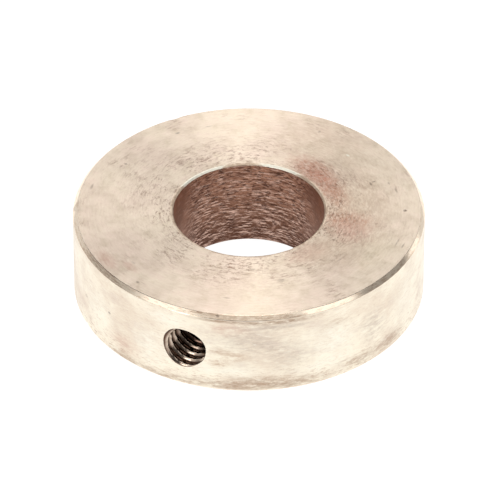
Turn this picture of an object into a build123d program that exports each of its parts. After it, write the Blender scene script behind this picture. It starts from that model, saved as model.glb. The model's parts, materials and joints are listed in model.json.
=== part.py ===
from build123d import *

import math
import os

# One-piece set-screw shaft collar, in millimetres.
#
# Origin: on the bore axis, in the plane of the lower end face.
# +Z runs up the bore axis.  The tapped hole for the set screw runs along -Y,
# out through the rim at half the collar's width.

INCH = 25.4

# ---- driving dimensions: the collar ---------------------------------------
BORE_DIAMETER = 0.75 * INCH
OUTER_DIAMETER = 1.75 * INCH
WIDTH = 15 / 32 * INCH
RIM_CHAMFER = 0.5
BORE_EDGE_BREAK = 0.15

# ---- driving dimensions: the 1/4-20 thread --------------------------------
THREAD_PITCH = INCH / 20
FLANK_SLOPE = math.tan(math.radians(30))

HOLE_MINOR_RADIUS = 2.55
HOLE_PITCH_RADIUS = 2.83
HOLE_MAJOR_RADIUS = 3.20

SCREW_MINOR_RADIUS = 2.42
SCREW_PITCH_RADIUS = 2.73
SCREW_MAJOR_RADIUS = 3.10

# ---- driving dimensions: the set screw and its tip ------------------------
TIP_SETBACK = 0.25        # the tip's end stops this far short of the bore wall
OVERALL_LENGTH = 0.25 * INCH
TIP_PROJECTION = 1.10
SOCKET_FLATS = 0.125 * INCH + 0.03
SOCKET_DEPTH = 2.30
SOCKET_CHAMFER = 0.20
SCREW_OUTER_CHAMFER = 0.45
SCREW_INNER_CHAMFER = 0.75

TIP_PAD_RADIUS = 1.90
TIP_PAD_CHAMFER = 0.25
TIP_NECK_RADIUS = 0.95
TIP_HEAD_RADIUS = 1.22
TIP_HEAD_LENGTH = 0.80
TIP_HEAD_CHAMFER = 0.15
TIP_RUNNING_GAP = 0.03    # all round the head and the neck
TIP_END_PLAY = 0.05       # along the axis, behind the pad and under the head
LIP_LENGTH = 0.70         # the lip rolled in round the neck to keep the head in

# ---- what follows from them -----------------------------------------------
BORE_RADIUS = BORE_DIAMETER / 2
OUTER_RADIUS = OUTER_DIAMETER / 2
TIP_END = BORE_RADIUS + TIP_SETBACK
SCREW_INNER_FACE = TIP_END + TIP_PROJECTION
SCREW_OUTER_FACE = TIP_END + OVERALL_LENGTH
HEAD_SEAT = SCREW_INNER_FACE + LIP_LENGTH
HEAD_START = HEAD_SEAT + TIP_END_PLAY
HEAD_END = HEAD_START + TIP_HEAD_LENGTH

# the thread runs past both ends of the hole by a whole pitch or more
THREAD_START = BORE_RADIUS - 1.5 * THREAD_PITCH
THREAD_STOP = THREAD_START + 13 * THREAD_PITCH
RIDGE_ROOTING = 0.1       # how deep the ridge is sunk into the bar, to join it


def on_screw_axis(shape):
    """Turn a shape made along +Z so that it points out along the tapped hole."""
    return Pos(0, 0, WIDTH / 2) * Rot(90, 0, 0) * shape


def solid_of_revolution(outline):
    """Spin a closed (radius, height) outline about the Z axis."""
    face = make_face(Plane.XZ * Polyline(*outline, close=True))
    return revolve(face, Axis.Z)


def threaded_bar(minor_radius, pitch_radius, major_radius, start, stop):
    """A bar along +Z from start to stop with a right-hand thread of 60 degree form on it.

    The ridge is half a pitch wide at the pitch radius.  One bar is the screw's
    rod, and a slightly fatter one is the tap that cuts the hole.
    """
    def half_width(radius):
        return THREAD_PITCH / 4 - FLANK_SLOPE * (radius - pitch_radius)

    root_radius = minor_radius - RIDGE_ROOTING
    section = [
        (root_radius, -half_width(root_radius)),
        (major_radius, -half_width(major_radius)),
        (major_radius, half_width(major_radius)),
        (root_radius, half_width(root_radius)),
    ]
    helix = Helix(pitch=THREAD_PITCH, height=stop - start, radius=pitch_radius)
    profile = make_face(Plane.XZ * Polyline(*section, close=True))
    ridge = sweep(profile, path=helix, is_frenet=True)
    core = extrude(Circle(minor_radius), stop - start)
    return Pos(0, 0, start) * (core + ridge)


def collar_blank():
    """The turned ring, with its rim chamfered and the edges of its bore broken."""
    outline = [
        (BORE_RADIUS + BORE_EDGE_BREAK, 0),
        (OUTER_RADIUS - RIM_CHAMFER, 0),
        (OUTER_RADIUS, RIM_CHAMFER),
        (OUTER_RADIUS, WIDTH - RIM_CHAMFER),
        (OUTER_RADIUS - RIM_CHAMFER, WIDTH),
        (BORE_RADIUS + BORE_EDGE_BREAK, WIDTH),
        (BORE_RADIUS, WIDTH - BORE_EDGE_BREAK),
        (BORE_RADIUS, BORE_EDGE_BREAK),
    ]
    return solid_of_revolution(outline)


def tap():
    """What the tapping drill and the tap cut away, from inside the bore to beyond the rim."""
    return threaded_bar(HOLE_MINOR_RADIUS, HOLE_PITCH_RADIUS, HOLE_MAJOR_RADIUS, THREAD_START, THREAD_STOP)


def collar_body():
    """The whole collar, in one piece: the blank less the tapped hole."""
    return collar_blank() - on_screw_axis(tap())


def screw_blank():
    """The set screw's rod with both ends chamfered and the tip's chamber bored in it."""
    lip_radius = TIP_NECK_RADIUS + TIP_RUNNING_GAP
    chamber_radius = TIP_HEAD_RADIUS + TIP_RUNNING_GAP
    chamber_end = HEAD_END + TIP_END_PLAY
    outline = [
        (lip_radius, SCREW_INNER_FACE),
        (SCREW_MAJOR_RADIUS - SCREW_INNER_CHAMFER, SCREW_INNER_FACE),
        (SCREW_MAJOR_RADIUS, SCREW_INNER_FACE + SCREW_INNER_CHAMFER),
        (SCREW_MAJOR_RADIUS, SCREW_OUTER_FACE - SCREW_OUTER_CHAMFER),
        (SCREW_MAJOR_RADIUS - SCREW_OUTER_CHAMFER, SCREW_OUTER_FACE),
        (0, SCREW_OUTER_FACE),
        (0, chamber_end),
        (chamber_radius, chamber_end),
        (chamber_radius, HEAD_SEAT),
        (lip_radius, HEAD_SEAT),
    ]
    return solid_of_revolution(outline)


def hex_socket():
    """The key socket, with a chamfered mouth."""
    circumradius = SOCKET_FLATS / math.sqrt(3)
    flats = extrude(RegularPolygon(circumradius, 6), SOCKET_DEPTH)
    mouth = [
        (0, -SOCKET_CHAMFER),
        (circumradius - SOCKET_CHAMFER, -SOCKET_CHAMFER),
        (circumradius + SOCKET_CHAMFER, SOCKET_CHAMFER),
        (0, SOCKET_CHAMFER),
    ]
    countersink = Pos(0, 0, SOCKET_DEPTH) * solid_of_revolution(mouth)
    return Pos(0, 0, SCREW_OUTER_FACE - SOCKET_DEPTH) * (flats + countersink)


def set_screw():
    """The screw: a threaded rod cut to the blank's outline, in step with the tapped hole."""
    rod = threaded_bar(SCREW_MINOR_RADIUS, SCREW_PITCH_RADIUS, SCREW_MAJOR_RADIUS, THREAD_START, THREAD_STOP)
    return on_screw_axis((rod & screw_blank()) - hex_socket())


def set_screw_tip():
    """The soft tip: a pad that bears on the shaft, a neck and a head held in the screw."""
    pad_back = SCREW_INNER_FACE - TIP_END_PLAY
    outline = [
        (0, TIP_END),
        (TIP_PAD_RADIUS - TIP_PAD_CHAMFER, TIP_END),
        (TIP_PAD_RADIUS, TIP_END + TIP_PAD_CHAMFER),
        (TIP_PAD_RADIUS, pad_back),
        (TIP_NECK_RADIUS, pad_back),
        (TIP_NECK_RADIUS, HEAD_START),
        (TIP_HEAD_RADIUS, HEAD_START),
        (TIP_HEAD_RADIUS, HEAD_END - TIP_HEAD_CHAMFER),
        (TIP_HEAD_RADIUS - TIP_HEAD_CHAMFER, HEAD_END),
        (0, HEAD_END),
    ]
    return on_screw_axis(solid_of_revolution(outline))


NODES = {
    "collar_body": collar_body,
    "set_screw": set_screw,
    "set_screw_tip": set_screw_tip,
}

os.makedirs("parts", exist_ok=True)
for name, make in NODES.items():
    export_step(make(), f"parts/{name}.step")
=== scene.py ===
import json
import math
from typing import NamedTuple

import bmesh
import bpy
import numpy as np
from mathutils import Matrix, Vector, noise


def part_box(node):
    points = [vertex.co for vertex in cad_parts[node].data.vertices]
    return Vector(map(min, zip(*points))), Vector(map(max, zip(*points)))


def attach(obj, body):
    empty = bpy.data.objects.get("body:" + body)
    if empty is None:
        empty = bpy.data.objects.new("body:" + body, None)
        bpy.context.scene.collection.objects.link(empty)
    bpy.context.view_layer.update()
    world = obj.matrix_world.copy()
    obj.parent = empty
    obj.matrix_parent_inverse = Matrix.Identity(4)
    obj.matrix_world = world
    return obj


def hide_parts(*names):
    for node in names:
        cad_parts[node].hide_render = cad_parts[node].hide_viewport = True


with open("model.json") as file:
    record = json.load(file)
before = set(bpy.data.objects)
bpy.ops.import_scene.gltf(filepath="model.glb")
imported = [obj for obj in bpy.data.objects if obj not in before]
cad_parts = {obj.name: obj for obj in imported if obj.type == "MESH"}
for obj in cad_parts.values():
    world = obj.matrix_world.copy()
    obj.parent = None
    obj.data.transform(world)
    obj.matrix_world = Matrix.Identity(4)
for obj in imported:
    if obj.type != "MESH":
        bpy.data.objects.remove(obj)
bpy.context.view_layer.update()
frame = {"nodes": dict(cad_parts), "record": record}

# Looks for a set-screw shaft collar lying on its lower face.  Metres throughout.
# The bore axis is Z and the tapped hole runs out along -Y.
# Angles round the bore axis are in degrees from +X, counter-clockwise from above.

MM = 0.001

# ---- sizes taken from the frame -------------------------------------------
MOUNTS = {mount["name"]: mount for mount in frame["record"]["mounts"]}
BORE_RADIUS = MOUNTS["bore"]["dims"]["r_mm"] * MM
collar_low, collar_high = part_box("collar_body")
screw_low, screw_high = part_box("set_screw")
OUTER_RADIUS = collar_high.x
WIDTH = collar_high.z - collar_low.z
HOLE_HEIGHT = (screw_low.z + screw_high.z) / 2

# ---- sizes of the collar's edges and thread -------------------------------
RIM_CHAMFER = 0.5 * MM
BORE_EDGE_BREAK = 0.20 * MM     # at the bore's upper end
LOWER_EDGE_BREAK = 0.03 * MM    # its lower end is almost sharp
EDGE_ROUNDING = 0.06 * MM
LARGEST_ROUNDING = 0.4          # of the shorter run beside a corner
MOUTH_EDGE_BREAK = 0.04 * MM
THREAD_PITCH = 1.27 * MM
THREAD_MINOR_RADIUS = 2.55 * MM
THREAD_PITCH_RADIUS = 2.83 * MM
THREAD_MAJOR_RADIUS = 3.14 * MM
THREAD_PHASE = 0.5              # in turns, where the groove starts at the bore
THREAD_ROUNDING = 0.05 * MM
FLANK_SLOPE = math.tan(math.radians(30))
TAP_OVERRUN = 2 * MM            # how far the tapping tool's solid starts inside the bore

# ---- wear in the collar's shape -------------------------------------------
TEARING_DEPTH = 0.05 * MM       # the drill tore the bore's wall this deep
TEARING_LENGTH = 0.90 * MM
TEARING_HEIGHT = 0.23 * MM
TEARING_STRENGTH = 0.75
TEARING_FRACTAL = (0.7, 2.1, 3)  # how fast its octaves weaken, how much finer each is, how many
TEARING_SWAY = 1.3              # how far its rows wander up and down, in heights of a row
SWAY_SCALE = Vector((0.9, 0.9, 0.25))
TEARING_FADE = 0.35 * MM        # it dies away over this length at the bore's ends
TORN_ANGLE = 110                # it is deepest here and opposite
TORN_EDGE = (0.45, 0.75)        # cosines of how far from TORN_ANGLE it starts and is full
LEAST_TORN = 0.1                # the share of its depth between the two torn sides
TORN_RADIUS = BORE_RADIUS + 2 * TEARING_DEPTH   # the torn wall is all inside this
WALL_MARGIN = 0.02 * MM         # an outline's point this near the bore's radius is on its wall
KNOCK_COUNT = 26
KNOCK_DEPTH = 0.07 * MM
KNOCK_DEPTH_SPREAD = (0.2, 1)
KNOCK_LENGTH = 0.55 * MM
KNOCK_LENGTH_SPREAD = (0.5, 1.6)
KNOCK_REACH = 0.30 * MM
SEED = 7

# ---- mesh density ---------------------------------------------------------
COLLAR_SEGMENTS = 480
COLLAR_ROW = 0.85 * MM
BORE_ROW = 0.115 * MM
THREAD_SEGMENTS = 72
THREAD_ROW = THREAD_PITCH / 16
SHARP_ANGLE = 35                # faces that meet at more than this are shaded with an edge

# ---- the camera's place ---------------------------------------------------
CAMERA_ANGLE = 290.64
CAMERA_ELEVATION = 37.367
CAMERA_DISTANCE = 766.4 * MM
CAMERA_LENS = 435               # Blender takes the lens and the sensor in millimetres
CAMERA_SENSOR = 36
AIM_SIDEWAYS = 0.142 * MM       # it aims this far to the right of the bore axis
AIM_HEIGHT = 5.485 * MM


# ---------------------------------------------------------------------------
# mesh building
# ---------------------------------------------------------------------------

def grid_mesh(name, rings, close_rings=False, cap_ends=False):
    """A mesh through equal closed rings of points, given as an array (ring, point, xyz)."""
    ring_count, point_count = rings.shape[:2]
    faces = []
    for ring in range(ring_count if close_rings else ring_count - 1):
        here = ring * point_count
        there = (ring + 1) % ring_count * point_count
        for point in range(point_count):
            after = (point + 1) % point_count
            faces.append((here + point, here + after, there + after, there + point))
    if cap_ends:
        faces.append(tuple(range(point_count - 1, -1, -1)))
        last = (ring_count - 1) * point_count
        faces.append(tuple(range(last, last + point_count)))
    mesh = bpy.data.meshes.new(name)
    mesh.from_pydata(rings.reshape(-1, 3).tolist(), [], faces)
    mesh.validate()
    made = bpy.data.objects.new(name, mesh)
    bpy.context.scene.collection.objects.link(made)
    point_outwards(made)
    return made


def point_outwards(made):
    """Turn all of a closed mesh's faces outwards."""
    shape = bmesh.new()
    shape.from_mesh(made.data)
    bmesh.ops.recalc_face_normals(shape, faces=shape.faces)
    shape.to_mesh(made.data)
    shape.free()


def rounded(corners, rounding, steps=3):
    """A closed outline with each (radius, height) corner replaced by a short smooth bend."""
    outline = []
    count = len(corners)
    for index, corner in enumerate(corners):
        here = np.array(corner)
        before = np.array(corners[index - 1]) - here
        after = np.array(corners[(index + 1) % count]) - here
        run_before = np.linalg.norm(before)
        run_after = np.linalg.norm(after)
        reach = min(rounding, LARGEST_ROUNDING * run_before, LARGEST_ROUNDING * run_after)
        start = here + before / run_before * reach
        end = here + after / run_after * reach
        for step in range(steps + 1):
            t = step / steps
            outline.append((1 - t) ** 2 * start + 2 * t * (1 - t) * here + t ** 2 * end)
    return outline


def divided(outline):
    """The closed outline with its long runs cut up.

    The pieces are even along the bore, and elsewhere shortest by a corner.
    """
    points = []
    for here, there in zip(outline, outline[1:] + outline[:1]):
        on_bore = max(here[0], there[0]) < BORE_RADIUS + WALL_MARGIN
        spacing = BORE_ROW if on_bore else COLLAR_ROW
        steps = max(1, round(float(np.linalg.norm(there - here)) / spacing))
        for step in range(steps):
            share = step / steps
            if not on_bore:
                share = (1 - math.cos(math.pi * share)) / 2
            points.append(here + (there - here) * share)
    return np.array(points)


def collar_outline():
    """The turned ring's section, as (radius, height) points."""
    corners = [
        (BORE_RADIUS + LOWER_EDGE_BREAK, 0),
        (OUTER_RADIUS - RIM_CHAMFER, 0),
        (OUTER_RADIUS, RIM_CHAMFER),
        (OUTER_RADIUS, WIDTH - RIM_CHAMFER),
        (OUTER_RADIUS - RIM_CHAMFER, WIDTH),
        (BORE_RADIUS + BORE_EDGE_BREAK, WIDTH),
        (BORE_RADIUS, WIDTH - BORE_EDGE_BREAK),
        (BORE_RADIUS, LOWER_EDGE_BREAK),
    ]
    return divided(rounded(corners, EDGE_ROUNDING))


def tearing(angle, height):
    """How deep the torn surface of the bore is, from 0 on a crest to 1 in a valley."""
    turns = BORE_RADIUS / TEARING_LENGTH
    place = Vector((math.cos(angle) * turns, math.sin(angle) * turns, height / TEARING_HEIGHT))
    place.z += TEARING_SWAY * noise.noise(place * SWAY_SCALE)
    depth = 0.5 + TEARING_STRENGTH * noise.fractal(place, *TEARING_FRACTAL)
    return min(1.0, max(0.0, depth))


def edge_fade(height):
    """1 along the bore, falling to 0 at both of its ends."""
    return min(1.0, min(height, WIDTH - height) / TEARING_FADE)


def side_fade(angle):
    """1 on the two sides where the bore is torn, falling to LEAST_TORN between them."""
    facing = np.abs(np.cos(angle - math.radians(TORN_ANGLE)))
    start, full = TORN_EDGE
    return LEAST_TORN + (1 - LEAST_TORN) * np.clip((facing - start) / (full - start), 0, 1)


def knocked(radius, height, angle):
    """The blank's grid of radii and heights, with small knocks taken out of its edges."""
    chance = np.random.default_rng(SEED)
    edges = [
        (OUTER_RADIUS, WIDTH - RIM_CHAMFER),
        (OUTER_RADIUS - RIM_CHAMFER, WIDTH),
        (OUTER_RADIUS, RIM_CHAMFER),
        (BORE_RADIUS + BORE_EDGE_BREAK, WIDTH),
    ]
    for _ in range(KNOCK_COUNT):
        edge_radius, edge_height = edges[chance.integers(len(edges))]
        centre = chance.uniform(0, 2 * math.pi)
        depth = KNOCK_DEPTH * chance.uniform(*KNOCK_DEPTH_SPREAD) ** 2
        length = KNOCK_LENGTH * chance.uniform(*KNOCK_LENGTH_SPREAD)
        turned = (angle - centre + math.pi) % (2 * math.pi) - math.pi
        along = np.exp(-(turned * edge_radius / length) ** 2)[:, None]
        distance_squared = (radius - edge_radius) ** 2 + (height - edge_height) ** 2
        across = np.exp(-distance_squared / KNOCK_REACH ** 2)
        dent = depth * along * across
        inwards = 1 if edge_radius > BORE_RADIUS + BORE_EDGE_BREAK else -1
        radius = radius - dent * inwards
        height = height - dent * np.sign(height - WIDTH / 2)
    return radius, height


def collar_blank():
    """The collar before it is tapped: its section spun round the bore axis, torn and knocked."""
    outline = collar_outline()
    angle = np.linspace(0, 2 * math.pi, COLLAR_SEGMENTS, endpoint=False)
    radius = np.repeat(outline[None, :, 0], COLLAR_SEGMENTS, axis=0)
    height = np.repeat(outline[None, :, 1], COLLAR_SEGMENTS, axis=0)
    radius, height = knocked(radius, height, angle)
    for row in np.flatnonzero(outline[:, 0] < BORE_RADIUS + WALL_MARGIN):
        level = float(outline[row, 1])
        torn = np.array([tearing(turn, level) for turn in angle])
        radius[:, row] += TEARING_DEPTH * edge_fade(level) * side_fade(angle) * torn
    rings = np.stack([
        radius * np.cos(angle)[:, None],
        radius * np.sin(angle)[:, None],
        height,
    ], axis=-1)
    return grid_mesh("collar", rings, close_rings=True)


def smooth_max(value, limit):
    """The larger of the two, with the corner between them rounded."""
    return (value + limit + np.sqrt((value - limit) ** 2 + THREAD_ROUNDING ** 2)) / 2


def thread_radius(angle, distance):
    """The tapped hole's radius at an angle round its axis and a distance from the bore axis."""
    turn = (distance - BORE_RADIUS) / THREAD_PITCH + THREAD_PHASE - angle / (2 * math.pi)
    from_groove = np.abs(turn - np.round(turn)) * THREAD_PITCH
    flank = THREAD_PITCH_RADIUS + (THREAD_PITCH / 4 - from_groove) / FLANK_SLOPE
    above_crest = smooth_max(flank, THREAD_MINOR_RADIUS)
    return -smooth_max(-above_crest, -THREAD_MAJOR_RADIUS)


def tapping_tool():
    """A closed solid of the tapped hole's shape, its edge broken where it leaves the rim."""
    start = BORE_RADIUS - TAP_OVERRUN
    stop = OUTER_RADIUS + TAP_OVERRUN / 4
    distance = np.arange(start, stop, THREAD_ROW)[:, None]
    angle = np.linspace(0, 2 * math.pi, THREAD_SEGMENTS, endpoint=False)[None, :]
    radius = thread_radius(angle, distance)
    rim_here = np.sqrt(OUTER_RADIUS ** 2 - (radius * np.cos(angle)) ** 2)
    radius = radius + np.maximum(0, distance - (rim_here - MOUTH_EDGE_BREAK))
    rings = np.stack([
        radius * np.cos(angle),
        -distance * np.ones_like(angle),
        HOLE_HEIGHT + radius * np.sin(angle),
    ], axis=-1)
    return grid_mesh("tapping_tool", rings, cap_ends=True)


def cut(body, tool):
    """Cut the tool's shape out of the body for good, and line the cut with the tool's material."""
    modifier = body.modifiers.new("cut", "BOOLEAN")
    modifier.operation = "DIFFERENCE"
    modifier.solver = "EXACT"
    modifier.material_mode = "TRANSFER"
    modifier.object = tool
    bpy.context.view_layer.update()
    graph = bpy.context.evaluated_depsgraph_get()
    mesh = bpy.data.meshes.new_from_object(body.evaluated_get(graph))
    body.modifiers.clear()
    body.data = mesh
    bpy.data.objects.remove(tool)


# ---------------------------------------------------------------------------
# node trees
# ---------------------------------------------------------------------------

def colour(red, green, blue):
    """A linear colour from the 0 to 255 values that a screen shows."""
    def linear(value):
        value = value / 255
        return value / 12.92 if value <= 0.04045 else ((value + 0.055) / 1.055) ** 2.4
    return (linear(red), linear(green), linear(blue), 1.0)


class Nodes:
    """Fills a node tree, one node at a time."""

    def __init__(self, tree):
        self.tree = tree
        tree.nodes.clear()

    def add(self, kind, sockets=None, **settings):
        node = self.tree.nodes.new(kind)
        for key, value in settings.items():
            setattr(node, key, value)
        for key, value in (sockets or {}).items():
            self.feed(node.inputs[key], value)
        return node

    def feed(self, socket, value):
        if isinstance(value, bpy.types.NodeSocket):
            self.tree.links.new(value, socket)
        else:
            socket.default_value = value

    def math(self, operation, *values):
        node = self.add("ShaderNodeMath", operation=operation)
        for socket, value in zip(node.inputs, values):
            self.feed(socket, value)
        return node.outputs["Value"]

    def vector(self, operation, first, second=(0, 0, 0)):
        node = self.add("ShaderNodeVectorMath", operation=operation, sockets={0: first, 1: second})
        return node.outputs["Vector"]

    def scaled(self, vector, factor):
        sockets = {"Vector": vector, "Scale": factor}
        node = self.add("ShaderNodeVectorMath", operation="SCALE", sockets=sockets)
        return node.outputs["Vector"]

    def length(self, vector):
        node = self.add("ShaderNodeVectorMath", operation="LENGTH", sockets={"Vector": vector})
        return node.outputs["Value"]

    def dot(self, first, second):
        node = self.add("ShaderNodeVectorMath", operation="DOT_PRODUCT", sockets={0: first, 1: second})
        return node.outputs["Value"]

    def ramp(self, value, low, high, to_low=0.0, to_high=1.0):
        """The value carried smoothly from the range low to high to the range to_low to to_high."""
        node = self.add("ShaderNodeMapRange", interpolation_type="SMOOTHSTEP", sockets={
            "Value": value, "From Min": low, "From Max": high, "To Min": to_low, "To Max": to_high,
        })
        return node.outputs["Result"]

    def blend(self, factor, first, second):
        """The first colour where the factor is 0 and the second where it is 1."""
        node = self.add("ShaderNodeMix", data_type="RGBA")
        self.feed(node.inputs["Factor"], factor)
        colours = [socket for socket in node.inputs if socket.type == "RGBA"]
        self.feed(colours[0], first)
        self.feed(colours[1], second)
        return next(socket for socket in node.outputs if socket.type == "RGBA")


QUARTER_TURN = 0.25             # turns the spread of a shine from along the grooves to across them


class Finish(Nodes):
    """A material's node tree, with places on the surface worked out in millimetres."""

    def __init__(self, name):
        self.material = bpy.data.materials.new(name)
        self.material.use_nodes = True
        super().__init__(self.material.node_tree)
        place = self.add("ShaderNodeTexCoord").outputs["Object"]
        self.place = self.scaled(place, 1 / MM)
        split = self.add("ShaderNodeSeparateXYZ", sockets={"Vector": self.place})
        self.x, self.y, self.height = split.outputs
        flat = self.combine(self.x, self.y, 0.0)
        self.radius = self.length(flat)
        self.outward = self.vector("NORMALIZE", flat)

    def combine(self, x, y, z):
        return self.add("ShaderNodeCombineXYZ", sockets={"X": x, "Y": y, "Z": z}).outputs["Vector"]

    def around(self, radius, length, across, width):
        """Coordinates that run round the bore axis with no seam.

        One cell is length long round a circle of the radius, and width wide across it.
        """
        circle = self.scaled(self.outward, radius / length)
        lift = self.combine(0.0, 0.0, self.math("DIVIDE", across, width))
        return self.vector("ADD", circle, lift)

    def noise(self, vector, scale=1.0, detail=3.0, roughness=0.5, distortion=0.0):
        node = self.add("ShaderNodeTexNoise", sockets={
            "Vector": vector,
            "Scale": scale,
            "Detail": detail,
            "Roughness": roughness,
            "Distortion": distortion,
        })
        return node.outputs["Fac"]

    def spot(self, centre, turn, reach, edge=0.5):
        """1 within an ellipsoid about the centre and 0 outside it, with a soft ragged border.

        The ellipsoid is turned to the angle round the bore axis, so its reach is
        outwards, round the axis and upwards.
        """
        away = self.add("ShaderNodeMapping", vector_type="TEXTURE", sockets={
            "Vector": self.place, "Location": centre, "Rotation": (0, 0, turn), "Scale": reach,
        }).outputs["Vector"]
        ragged = self.noise(away, scale=2.4, detail=5, roughness=0.75)
        ragged = self.math("MULTIPLY", self.math("SUBTRACT", ragged, 0.5), 2.0)
        ragged_length = self.math("ADD", self.length(away), ragged)
        return self.ramp(ragged_length, 1 + edge, 1 - edge)

    def with_stains_and_painted_light(self, tint, marks, place_of, hold=1.0):
        """The tint with each mark's colour laid over it where place_of says the mark is.

        The hold, from 0 up to about 1, is how well the surface takes a stain there.
        """
        for mark in marks:
            patch = self.spot(place_of(mark), math.radians(mark.angle), mark.reach, mark.edge)
            held = self.math("MULTIPLY", patch, self.math("MULTIPLY", hold, mark.strength))
            tint = self.blend(held, tint, colour(*mark.shade))
        return tint

    def bump(self, height, depth, base=None):
        sockets = {"Height": height, "Distance": depth}
        if base is not None:
            sockets["Normal"] = base
        return self.add("ShaderNodeBump", sockets=sockets).outputs["Normal"]

    def steel(self, tint, roughness, normal=None, grooves=0.0):
        """Bare metal; grooves is how strongly turning marks round the bore axis spread its shine."""
        sockets = {"Base Color": tint, "Roughness": roughness, "Metallic": 1.0}
        if normal is not None:
            sockets["Normal"] = normal
        if grooves:
            tangent = self.add("ShaderNodeTangent", direction_type="RADIAL", axis="Z")
            sockets["Tangent"] = tangent.outputs["Tangent"]
            sockets["Anisotropic"] = grooves
            sockets["Anisotropic Rotation"] = QUARTER_TURN
        shader = self.add("ShaderNodeBsdfPrincipled", sockets=sockets)
        self.add("ShaderNodeOutputMaterial", sockets={"Surface": shader.outputs["BSDF"]})
        return self.material


# ---------------------------------------------------------------------------
# the collar's steel
# ---------------------------------------------------------------------------

class Mark(NamedTuple):
    """A stain, rub or speck, or a patch of painted highlight or shade.

    It lies at an angle round the bore axis, and at a radius on a face or a height on
    the rim.  Its reach is outwards, round the axis and upwards.  All in millimetres.
    """
    angle: float
    at: float
    reach: tuple
    shade: tuple
    strength: float
    edge: float = 0.6


RUST = (186, 114, 88)
BROWN = (160, 130, 106)
# also the colour of painted shade in the tapped hole
SOOT_AND_SHADE = (104, 84, 72)
OLIVE = (206, 194, 160)
TAN = (212, 189, 166)
PINK = (212, 176, 158)
# also the colour of painted highlights on the rim and the bore's edge
CHALK_AND_HIGHLIGHT = (255, 250, 234)
GREY = (198, 184, 170)

FACE_MARKS = [
    # rust and tan stains that have crept out of the bore on the right, and further round
    Mark(20, 13.0, (4.5, 9.0, 1), TAN, 0.75, 0.9),
    Mark(76, 16.8, (5.0, 5.0, 1), TAN, 0.50, 0.9),
    Mark(67, 11.6, (1.7, 2.8, 1), RUST, 0.60, 0.9),
    Mark(49, 11.0, (1.5, 2.6, 1), RUST, 0.50, 0.9),
    Mark(34, 11.4, (1.3, 2.2, 1), RUST, 0.32, 0.9),
    Mark(10, 12.4, (2.6, 1.6, 1), RUST, 0.48, 0.9),
    Mark(0, 13.4, (2.2, 1.8, 1), PINK, 0.80, 0.9),
    Mark(330, 11.6, (1.6, 2.6, 1), PINK, 0.70, 0.9),
    Mark(338, 13.0, (3.0, 3.0, 1), TAN, 0.45, 0.9),
    Mark(350, 18.0, (1.6, 3.0, 1), OLIVE, 0.25, 0.9),
    Mark(291, 15.0, (6.0, 6.0, 1), TAN, 0.20, 0.9),
    # faint pink stains by the rim at the front left
    Mark(231, 20.6, (0.8, 1.6, 1), PINK, 0.60, 0.9),
    Mark(239, 19.0, (0.5, 1.2, 1), PINK, 0.50, 0.9),
    # dents on the right: a deep dot and some dashes
    Mark(20, 19.7, (0.20, 0.20, 1), SOOT_AND_SHADE, 0.90),
    Mark(40, 16.4, (0.12, 0.36, 1), SOOT_AND_SHADE, 0.60),
    Mark(41, 16.9, (0.22, 0.12, 1), SOOT_AND_SHADE, 0.60),
    Mark(38, 18.6, (0.12, 0.30, 1), SOOT_AND_SHADE, 0.35),
    Mark(33, 19.1, (0.14, 0.60, 1), SOOT_AND_SHADE, 0.40),
    Mark(0.5, 19.8, (0.10, 0.60, 1), SOOT_AND_SHADE, 0.50),
    Mark(359.4, 20.7, (0.10, 0.45, 1), SOOT_AND_SHADE, 0.50),
    # small dents elsewhere
    Mark(63, 17.1, (0.14, 0.28, 1), CHALK_AND_HIGHLIGHT, 1.00),
    Mark(82, 18.9, (0.20, 0.16, 1), SOOT_AND_SHADE, 0.45),
    Mark(127, 18.5, (0.10, 0.45, 1), SOOT_AND_SHADE, 0.35),
    Mark(140, 18.7, (0.16, 0.30, 1), SOOT_AND_SHADE, 0.45),
    Mark(169, 18.4, (0.22, 0.16, 1), SOOT_AND_SHADE, 0.45),
    Mark(187, 20.5, (0.14, 0.50, 1), SOOT_AND_SHADE, 0.45),
    Mark(238, 18.1, (0.12, 0.35, 1), SOOT_AND_SHADE, 0.35),
    Mark(248, 20.4, (0.18, 0.24, 1), SOOT_AND_SHADE, 0.45),
    Mark(282, 18.4, (0.12, 0.40, 1), SOOT_AND_SHADE, 0.35),
    Mark(292, 12.4, (0.14, 0.50, 1), SOOT_AND_SHADE, 0.35),
    Mark(306, 15.2, (0.30, 0.40, 1), SOOT_AND_SHADE, 0.45, 0.8),
    Mark(338, 15.4, (0.12, 0.35, 1), SOOT_AND_SHADE, 0.35),
]

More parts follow.
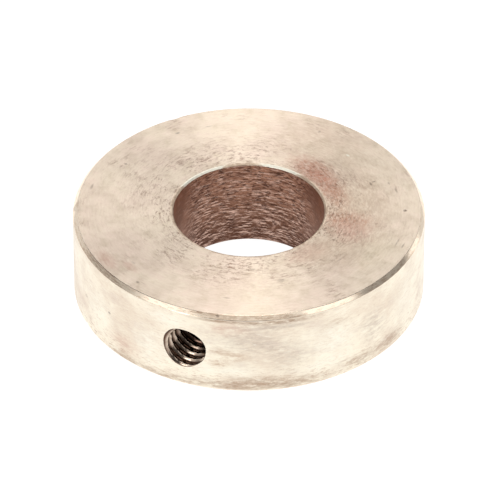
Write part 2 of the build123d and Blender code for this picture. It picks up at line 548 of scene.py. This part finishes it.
RIM_MARKS = [
    # painted highlights: pale patches on the rim
    Mark(233, 5.2, (1, 2.4, 2.4), CHALK_AND_HIGHLIGHT, 0.70, 0.9),
    Mark(257, 4.7, (1, 2.0, 2.6), CHALK_AND_HIGHLIGHT, 0.80, 0.9),
    Mark(263, 9.9, (1, 2.6, 0.9), CHALK_AND_HIGHLIGHT, 0.80, 0.9),
    Mark(283, 3.4, (1, 3.4, 0.7), CHALK_AND_HIGHLIGHT, 0.80, 0.9),
    Mark(319, 6.6, (1, 2.6, 2.4), CHALK_AND_HIGHLIGHT, 0.90, 0.9),
    Mark(315, 2.9, (1, 3.0, 0.8), CHALK_AND_HIGHLIGHT, 0.70, 0.9),
    Mark(352, 6.0, (1, 2.6, 3.4), CHALK_AND_HIGHLIGHT, 0.60, 0.9),
    # grey and pink handling
    Mark(285, 10.0, (1, 2.2, 0.8), PINK, 0.60, 0.9),
    Mark(292, 8.0, (1, 3.6, 2.2), GREY, 0.50, 0.9),
    Mark(304, 5.6, (1, 2.4, 2.0), GREY, 0.45, 0.9),
    Mark(335, 6.0, (1, 1.8, 2.0), GREY, 0.55, 0.9),
    Mark(321, 9.3, (1, 2.0, 0.8), TAN, 0.55, 0.9),
    Mark(246, 2.8, (1, 2.0, 1.0), PINK, 0.50, 0.9),
    # tan patches beside the hole, and dots of dirt
    Mark(282, 6.3, (1, 1.3, 0.5), TAN, 1.00, 0.9),
    Mark(287, 5.7, (1, 1.4, 0.5), TAN, 0.90, 0.9),
    Mark(281, 4.6, (1, 1.0, 0.6), TAN, 1.00, 0.9),
    Mark(239, 6.1, (1, 0.20, 0.20), SOOT_AND_SHADE, 0.90),
    Mark(224, 5.0, (1, 0.30, 0.22), BROWN, 0.50),
    # grime along the top edge
    Mark(282, 11.15, (1, 3.4, 0.18), BROWN, 0.80, 0.9),
    Mark(300, 11.0, (1, 4.4, 0.26), BROWN, 0.90, 0.9),
    Mark(299, 10.3, (1, 3.6, 0.40), GREY, 0.70, 0.9),
    # brown along the bottom edge at the front, darker towards the bottom
    Mark(247, 0.8, (1, 2.6, 0.6), BROWN, 0.60, 0.9),
    Mark(264, 0.9, (1, 3.4, 0.5), BROWN, 0.50, 0.9),
    Mark(280, 1.2, (1, 3.6, 0.5), BROWN, 0.60, 0.9),
    Mark(294, 1.5, (1, 4.0, 0.9), BROWN, 0.70, 0.9),
    Mark(307, 1.2, (1, 3.6, 0.7), BROWN, 0.60, 0.9),
    Mark(329, 1.7, (1, 2.6, 0.8), BROWN, 0.55, 0.9),
    Mark(343, 1.7, (1, 2.4, 0.8), BROWN, 0.55, 0.9),
]

CHAMFER_MARKS = [
    # grime that fills the edge at the front
    Mark(277, 21.76, (0.20, 3.0, 1), BROWN, 0.70, 0.9),
    Mark(290, 21.80, (0.20, 3.2, 1), BROWN, 0.50, 0.9),
    Mark(283, 22.0, (0.40, 3.6, 1), TAN, 0.90, 0.9),
    Mark(297, 22.0, (0.40, 3.2, 1), TAN, 0.90, 0.9),
    Mark(302, 22.15, (0.20, 2.8, 1), BROWN, 0.60, 0.9),
    Mark(280.5, 21.9, (0.14, 0.22, 1), SOOT_AND_SHADE, 0.70),
    # painted shade that darkens it at both sides
    Mark(226, 22.0, (0.5, 3.2, 1), BROWN, 0.45, 0.9),
    Mark(240, 22.0, (0.5, 2.6, 1), BROWN, 0.45, 0.9),
    Mark(335, 22.0, (0.5, 3.0, 1), BROWN, 0.35, 0.9),
    Mark(350, 22.0, (0.5, 3.0, 1), BROWN, 0.35, 0.9),
]

BORE_EDGE_HIGHLIGHTS = [
    # painted highlights on both sides of the back
    Mark(150, 9.6, (0.6, 5.0, 1), CHALK_AND_HIGHLIGHT, 1.00, 0.4),
    Mark(86, 9.6, (0.6, 2.8, 1), CHALK_AND_HIGHLIGHT, 1.00, 0.4),
]

THREAD_SHADE_MARKS = [
    # painted shade at the lower left of the mouth
    Mark(265, 4.2, (4.0, 1.4, 1.4), SOOT_AND_SHADE, 0.30),
]


def on_upper_face(mark):
    """A mark's centre in millimetres, for a mark that gives its angle and radius."""
    turn = math.radians(mark.angle)
    return (mark.at * math.cos(turn), mark.at * math.sin(turn), WIDTH / MM)


def on_rim(mark):
    """A mark's centre in millimetres, for a mark that gives its angle and height."""
    turn = math.radians(mark.angle)
    radius = OUTER_RADIUS / MM
    return (radius * math.cos(turn), radius * math.sin(turn), mark.at)


def end_face_steel():
    """Faced on the lathe, dulled by handling, and finely pitted in patches round the bore."""
    finish = Finish("end_face_steel")
    middle = (BORE_RADIUS + OUTER_RADIUS) / 2 / MM
    rings = finish.noise(finish.around(middle, 30, finish.radius, 0.14), detail=3, roughness=0.6)
    clouds = finish.noise(finish.place, scale=0.12, detail=3, roughness=0.55)
    mottle = finish.noise(finish.place, scale=0.5, detail=5, roughness=0.7)
    grain = finish.noise(finish.around(middle, 0.7, finish.radius, 0.24), detail=4, roughness=0.75)
    tint = finish.blend(finish.ramp(clouds, 0.36, 0.64), colour(243, 227, 206), colour(236, 217, 199))
    tint = finish.blend(finish.ramp(mottle, 0.48, 0.72, 0, 0.40), tint, colour(222, 206, 178))
    tint = finish.blend(finish.ramp(mottle, 0.5, 0.3, 0, 0.35), tint, colour(234, 209, 195))
    tint = finish.blend(finish.ramp(rings, 0.35, 0.75, 0, 0.12), tint, colour(202, 180, 160))
    tint = finish.blend(finish.ramp(grain, 0.50, 0.75, 0, 0.40), tint, colour(204, 178, 158))
    tint = finish.blend(finish.ramp(grain, 0.46, 0.3, 0, 0.4), tint, colour(252, 240, 222))

    # pits, thickest round the bore and in a few patches elsewhere
    near_bore = finish.ramp(finish.radius, 19.0, 11.5)
    patches = finish.noise(finish.place, scale=0.22, detail=3, roughness=0.6)
    pitted = finish.math("MULTIPLY", near_bore, finish.ramp(patches, 0.32, 0.58))
    pitted = finish.math("MAXIMUM", pitted, finish.ramp(patches, 0.52, 0.72, 0, 0.7))
    cells = finish.around(middle, 1.0, finish.radius, 0.26)
    pits = finish.noise(cells, detail=4, roughness=0.7, distortion=0.8)
    pits = finish.math("MULTIPLY", finish.ramp(pits, 0.48, 0.68), pitted)
    hold = finish.ramp(grain, 0.35, 0.65, 0.5, 1.2)
    tint = finish.with_stains_and_painted_light(tint, FACE_MARKS, on_upper_face, hold)
    tint = finish.blend(finish.math("MULTIPLY", pits, 0.68), tint, colour(164, 126, 106))

    roughness = finish.ramp(mottle, 0.3, 0.7, 0.36, 0.44)
    roughness = finish.math("ADD", roughness, finish.math("MULTIPLY", pits, 0.1))
    normal = finish.bump(rings, 0.0015 * MM)
    normal = finish.bump(pits, -0.010 * MM, normal)
    return finish.steel(tint, roughness, normal, grooves=0.8)


def rim_steel():
    """Turned and then rubbed: near white, with pale painted highlights, fine level specks and soft grey
    and brown smears.
    """
    finish = Finish("rim_steel")
    radius = OUTER_RADIUS / MM
    small_cells = finish.around(radius, 0.8, finish.height, 0.20)
    large_cells = finish.around(radius, 1.7, finish.height, 0.45)
    specks = finish.noise(small_cells, detail=5, roughness=0.75, distortion=0.4)
    streaks = finish.noise(large_cells, detail=5, roughness=0.75, distortion=0.3)
    smears = finish.noise(finish.around(radius, 4.5, finish.height, 2.2), detail=4, roughness=0.6)
    blotches = finish.noise(finish.place, scale=0.16, detail=3, roughness=0.55)
    tint = finish.blend(finish.ramp(blotches, 0.36, 0.64), colour(238, 223, 203), colour(252, 242, 222))
    tint = finish.blend(finish.ramp(smears, 0.5, 0.72, 0, 0.5), tint, colour(226, 208, 194))
    hold = finish.ramp(streaks, 0.38, 0.62, 0.25, 1.1)
    tint = finish.with_stains_and_painted_light(tint, RIM_MARKS, on_rim, hold)
    tint = finish.blend(finish.ramp(streaks, 0.52, 0.76, 0, 0.36), tint, colour(206, 180, 158))
    tint = finish.blend(finish.ramp(streaks, 0.46, 0.28, 0, 0.5), tint, colour(255, 250, 232))
    tint = finish.blend(finish.ramp(specks, 0.50, 0.75, 0, 0.35), tint, colour(204, 180, 160))
    tint = finish.blend(finish.ramp(specks, 0.46, 0.30, 0, 0.5), tint, colour(255, 250, 236))
    # the specks darker brown, most of all low down
    low = finish.ramp(finish.height, 4.5, 0.6, 0.10, 0.75)
    low_dark_specks = finish.math("MULTIPLY", finish.ramp(specks, 0.52, 0.68), low)
    tint = finish.blend(low_dark_specks, tint, colour(180, 144, 120))
    normal = finish.bump(streaks, 0.003 * MM)
    return finish.steel(tint, finish.ramp(smears, 0.3, 0.7, 0.3, 0.42), normal, grooves=0.5)


def chamfer_steel():
    """A clean turned edge, which mirrors the room more sharply than the faces do."""
    finish = Finish("chamfer_steel")
    radius = OUTER_RADIUS / MM
    streaks = finish.noise(finish.around(radius, 1.0, finish.height, 0.18), detail=5, roughness=0.7)
    dulled = finish.ramp(streaks, 0.45, 0.7, 0, 0.6)
    tint = finish.blend(dulled, colour(255, 238, 216), colour(226, 194, 166))
    hold = finish.ramp(streaks, 0.4, 0.6, 0.4, 1.2)
    tint = finish.with_stains_and_painted_light(tint, CHAMFER_MARKS, on_upper_face, hold)
    roughness = finish.ramp(streaks, 0.3, 0.7, 0.09, 0.15)
    return finish.steel(tint, roughness, finish.bump(streaks, 0.002 * MM))


def bore_edge_steel():
    """The bore's broken edges, dull except for painted highlights on both sides of the back."""
    finish = Finish("bore_edge_steel")
    cells = finish.around(BORE_RADIUS / MM, 1.0, finish.height, 0.2)
    grain = finish.noise(cells, detail=4, roughness=0.7)
    tint = finish.blend(finish.ramp(grain, 0.4, 0.6), colour(226, 206, 184), colour(204, 180, 158))
    tint = finish.with_stains_and_painted_light(tint, BORE_EDGE_HIGHLIGHTS, on_upper_face)
    return finish.steel(tint, finish.ramp(grain, 0.3, 0.7, 0.4, 0.55))


def bore_steel():
    """Rough from the drill: dark brown hollows, their darkness partly painted shade that deepens
    towards the lower end, and torn crests, short and level, paled by painted highlights.
    """
    finish = Finish("bore_steel")
    radius = BORE_RADIUS / MM
    depth = finish.add("ShaderNodeAttribute", attribute_name="tearing").outputs["Fac"]
    fibres = finish.noise(finish.around(radius, 0.75, finish.height, 0.15), detail=4, roughness=0.7)
    glint_noise = finish.noise(finish.around(radius, 1.5, finish.height, 0.27), detail=4, roughness=0.75)
    cloud = finish.noise(finish.place, scale=0.35, detail=3)
    torn_turn = math.radians(TORN_ANGLE)
    facing = finish.dot(finish.outward, (math.cos(torn_turn), math.sin(torn_turn), 0))
    torn = finish.ramp(finish.math("ABSOLUTE", facing), *TORN_EDGE)
    # reddish brown, partly the bore's own colour and partly painted shade
    tint = finish.blend(finish.ramp(cloud, 0.35, 0.65), colour(192, 142, 116), colour(168, 124, 102))
    # painted shade, darker towards the bore's lower end
    low = finish.ramp(finish.height, WIDTH / MM, 0.0)
    tint = finish.blend(low, tint, colour(100, 68, 54))
    # painted highlights on the torn crests
    tint = finish.blend(finish.ramp(depth, 0.42, 0.1, 0, 0.35), tint, colour(206, 166, 148))
    # painted glints in short dashes on the torn sides
    painted_glints = finish.math("MULTIPLY", finish.ramp(glint_noise, 0.49, 0.61, 0, 0.85), torn)
    tint = finish.blend(painted_glints, tint, colour(230, 194, 176))
    dark = finish.math("MULTIPLY", finish.ramp(fibres, 0.49, 0.60, 0, 0.85), torn)
    tint = finish.blend(dark, tint, colour(74, 46, 38))
    normal = finish.bump(finish.math("MULTIPLY", fibres, torn), 0.02 * MM)
    return finish.steel(tint, finish.ramp(fibres, 0.3, 0.7, 0.38, 0.52), normal)


def thread_steel():
    """The tapped hole, polished by the tap, with painted shade in its grooves and deep inside."""
    finish = Finish("thread_steel")
    grain = finish.noise(finish.place, scale=3.0, detail=3)
    tint = finish.blend(finish.ramp(grain, 0.35, 0.65), colour(214, 196, 178), colour(188, 168, 150))
    below_axis = finish.math("SUBTRACT", finish.height, HOLE_HEIGHT / MM)
    from_axis = finish.length(finish.combine(finish.x, 0.0, below_axis))
    near_crest = THREAD_MINOR_RADIUS / MM + 0.1
    in_groove = THREAD_PITCH_RADIUS / MM + 0.15
    # painted shade, darkest in the grooves
    groove_shade = finish.ramp(from_axis, near_crest, in_groove)
    tint = finish.blend(groove_shade, tint, colour(96, 72, 58))
    # painted shade: it darkens from 1.5 mm below the rim to 6 mm below it
    depth_shade = finish.ramp(finish.radius, OUTER_RADIUS / MM - 1.5, OUTER_RADIUS / MM - 6.0)
    tint = finish.blend(depth_shade, tint, colour(74, 50, 40))
    tint = finish.with_stains_and_painted_light(tint, THREAD_SHADE_MARKS, on_rim)
    return finish.steel(tint, finish.ramp(grain, 0.3, 0.7, 0.12, 0.2))


# ---------------------------------------------------------------------------
# the set screw's metals
# ---------------------------------------------------------------------------

def black_oxide_steel():
    """The screw: blackened steel, lightly oiled."""
    finish = Finish("black_oxide_steel")
    grain = finish.noise(finish.place, scale=6.0, detail=4)
    tint = finish.blend(grain, colour(44, 44, 46), colour(66, 64, 64))
    return finish.steel(tint, finish.ramp(grain, 0.3, 0.7, 0.35, 0.5))


def turned_brass():
    """The screw's soft tip."""
    finish = Finish("turned_brass")
    grain = finish.noise(finish.place, scale=6.0, detail=4)
    tint = finish.blend(grain, colour(214, 178, 100), colour(190, 150, 80))
    return finish.steel(tint, finish.ramp(grain, 0.3, 0.7, 0.25, 0.4))


# ---------------------------------------------------------------------------
# the collar
# ---------------------------------------------------------------------------

FACE_TILT = 0.97                # a polygon with its normal this upright is on an end face
CHAMFER_TILT = 0.3              # and one with its normal this upright is on a chamfer


def assign_blank_materials(blank):
    """Give each region of the blank its own finish, by where its faces lie and how they tilt."""
    mesh = blank.data
    for material in (end_face_steel(), rim_steel(), chamfer_steel(), bore_edge_steel(), bore_steel()):
        mesh.materials.append(material)
    on_face, on_rim_wall, on_chamfer, on_bore_edge, in_bore = range(5)
    for face in mesh.polygons:
        radius = math.hypot(face.center.x, face.center.y)
        tilt = abs(face.normal.z)
        between_edges = LOWER_EDGE_BREAK < face.center.z < WIDTH - BORE_EDGE_BREAK
        if radius < TORN_RADIUS and between_edges:
            face.material_index = in_bore
        elif radius < BORE_RADIUS + 2 * BORE_EDGE_BREAK:
            face.material_index = on_bore_edge
        elif tilt > FACE_TILT:
            face.material_index = on_face
        elif tilt > CHAMFER_TILT:
            face.material_index = on_chamfer
        else:
            face.material_index = on_rim_wall


def record_tearing(mesh):
    """Keep the tearing's depth on every point, so that the bore's colour follows its shape."""
    layer = mesh.attributes.new("tearing", "FLOAT", "POINT")
    for vertex, value in zip(mesh.vertices, layer.data):
        if math.hypot(vertex.co.x, vertex.co.y) < TORN_RADIUS:
            value.value = tearing(math.atan2(vertex.co.y, vertex.co.x), vertex.co.z)


def make_collar():
    """The detailed collar, which takes the place of the CAD model's plain one."""
    collar = collar_blank()
    assign_blank_materials(collar)
    tool = tapping_tool()
    tool.data.materials.append(thread_steel())
    cut(collar, tool)
    record_tearing(collar.data)
    collar.data.shade_smooth()
    collar.data.set_sharp_from_angle(angle=math.radians(SHARP_ANGLE))
    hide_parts("collar_body")
    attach(collar, "collar")


# ---------------------------------------------------------------------------
# the stage
# ---------------------------------------------------------------------------

def towards(azimuth, elevation):
    """A unit vector that points from the collar; azimuth 0 is the camera's side and 90 its right."""
    turn = math.radians(CAMERA_ANGLE + azimuth)
    lift = math.radians(elevation)
    return Vector((math.cos(turn) * math.cos(lift), math.sin(turn) * math.cos(lift), math.sin(lift)))


def make_camera():
    """The camera stands about 20 degrees round from the tapped hole, well above the collar."""
    data = bpy.data.cameras.new("camera")
    data.sensor_width = CAMERA_SENSOR
    data.lens = CAMERA_LENS
    data.clip_start = 10 * MM
    camera = bpy.data.objects.new("camera", data)
    bpy.context.scene.collection.objects.link(camera)
    back = towards(0, CAMERA_ELEVATION)
    aim = towards(90, 0) * AIM_SIDEWAYS + Vector((0, 0, AIM_HEIGHT))
    camera.location = aim + back * CAMERA_DISTANCE
    camera.rotation_mode = "QUATERNION"
    camera.rotation_quaternion = (-back).to_track_quat("-Z", "Y")
    bpy.context.scene.camera = camera


class Panel(NamedTuple):
    """A soft round patch of the studio that is brighter or darker than the rest.

    The angles are in degrees: where its middle is, how far its even core reaches, and
    how wide the border is over which it fades.  The gain is added to the room's light.
    """
    azimuth: float
    elevation: float
    core: float
    border: float
    gain: float


ROOM_LIGHT = 0.72
PANELS = [
    Panel(0, 52, 14, 14, 0.20),
    Panel(58, 44, 11, 5, 0.50),
    Panel(-58, 44, 11, 5, 0.50),
    Panel(97, 28, 16, 3, -0.36),
    Panel(-98, 27, 16, 3, -0.20),
    Panel(122, 13, 5, 4, 0.45),
    Panel(-142, 58, 17, 12, -0.70),
    Panel(142, 58, 14, 12, -0.70),
    Panel(-8, 10, 22, 10, -0.60),
    Panel(-75, 4, 10, 10, -0.30),
    Panel(-39, 20, 6, 6, 3.50),
]

# a long soft box over the collar, in the camera's own vertical plane
STRIP_ELEVATION = 72
STRIP_LENGTH = (22, 46)         # from its middle to where it starts and stops fading
STRIP_WIDTH = (8, 11)           # and the same to its sides
STRIP_GAIN = 1.7


def overhead_strip(nodes, ray):
    """The long soft box's light, which draws bright wedges on a turned face."""
    core, edge = (math.cos(math.radians(angle)) for angle in STRIP_LENGTH)
    lengthwise = nodes.ramp(nodes.dot(ray, towards(180, STRIP_ELEVATION)), edge, core)
    core, edge = (math.sin(math.radians(angle)) for angle in STRIP_WIDTH)
    crosswise = nodes.ramp(nodes.math("ABSOLUTE", nodes.dot(ray, towards(90, 0))), edge, core)
    return nodes.math("MULTIPLY", nodes.math("MULTIPLY", lengthwise, crosswise), STRIP_GAIN)


def make_world():
    """A pale studio, with the panels that the steel mirrors."""
    world = bpy.data.worlds.new("studio")
    bpy.context.scene.world = world
    world.use_nodes = True
    nodes = Nodes(world.node_tree)
    ray = nodes.add("ShaderNodeTexCoord").outputs["Generated"]
    light = nodes.math("ADD", overhead_strip(nodes, ray), ROOM_LIGHT)
    for panel in PANELS:
        nearness = nodes.dot(ray, towards(panel.azimuth, panel.elevation))
        edge = math.cos(math.radians(panel.core + panel.border))
        core = math.cos(math.radians(panel.core))
        light = nodes.math("ADD", light, nodes.ramp(nearness, edge, core, 0, panel.gain))
    # past the floor's edge the camera sees plain white, which lights nothing
    seen = nodes.add("ShaderNodeLightPath").outputs["Is Camera Ray"]
    light = nodes.math("MAXIMUM", light, seen)
    background = nodes.add("ShaderNodeBackground", sockets={"Color": (1, 1, 1, 1), "Strength": light})
    nodes.add("ShaderNodeOutputWorld", sockets={"Surface": background.outputs["Background"]})


FLOOR_REACH = 20 * OUTER_RADIUS
FLOOR_DROP = 0.02 * MM          # far enough below the collar that the two never coincide
FLOOR_SHADE = 0.2
FLOOR_GLOW = 0.95


def make_floor():
    """A white floor that glows a little, as a light table does, so that it throws no hard shadow.

    From below it is clear, so that the collar's underside can be seen.
    """
    corners = [
        (-FLOOR_REACH, -FLOOR_REACH, -FLOOR_DROP),
        (FLOOR_REACH, -FLOOR_REACH, -FLOOR_DROP),
        (FLOOR_REACH, FLOOR_REACH, -FLOOR_DROP),
        (-FLOOR_REACH, FLOOR_REACH, -FLOOR_DROP),
    ]
    mesh = bpy.data.meshes.new("floor")
    mesh.from_pydata(corners, [], [(0, 1, 2, 3)])
    floor = bpy.data.objects.new("floor", mesh)
    bpy.context.scene.collection.objects.link(floor)
    material = bpy.data.materials.new("pale_floor")
    material.use_nodes = True
    mesh.materials.append(material)
    nodes = Nodes(material.node_tree)
    white = nodes.add("ShaderNodeBsdfPrincipled", sockets={
        "Base Color": (FLOOR_SHADE, FLOOR_SHADE, FLOOR_SHADE, 1),
        "Roughness": 0.9,
        "Specular IOR Level": 0.1,
        "Emission Color": (1, 1, 1, 1),
        "Emission Strength": FLOOR_GLOW,
    })
    clear = nodes.add("ShaderNodeBsdfTransparent")
    from_below = nodes.add("ShaderNodeNewGeometry").outputs["Backfacing"]
    either = nodes.add("ShaderNodeMixShader", sockets={
        0: from_below, 1: white.outputs["BSDF"], 2: clear.outputs["BSDF"],
    })
    nodes.add("ShaderNodeOutputMaterial", sockets={"Surface": either.outputs["Shader"]})


bpy.context.scene.view_settings.view_transform = "Standard"
make_camera()
make_world()
make_floor()
make_collar()
frame["nodes"]["set_screw"].material_slots[0].material = black_oxide_steel()
frame["nodes"]["set_screw_tip"].material_slots[0].material = turned_brass()
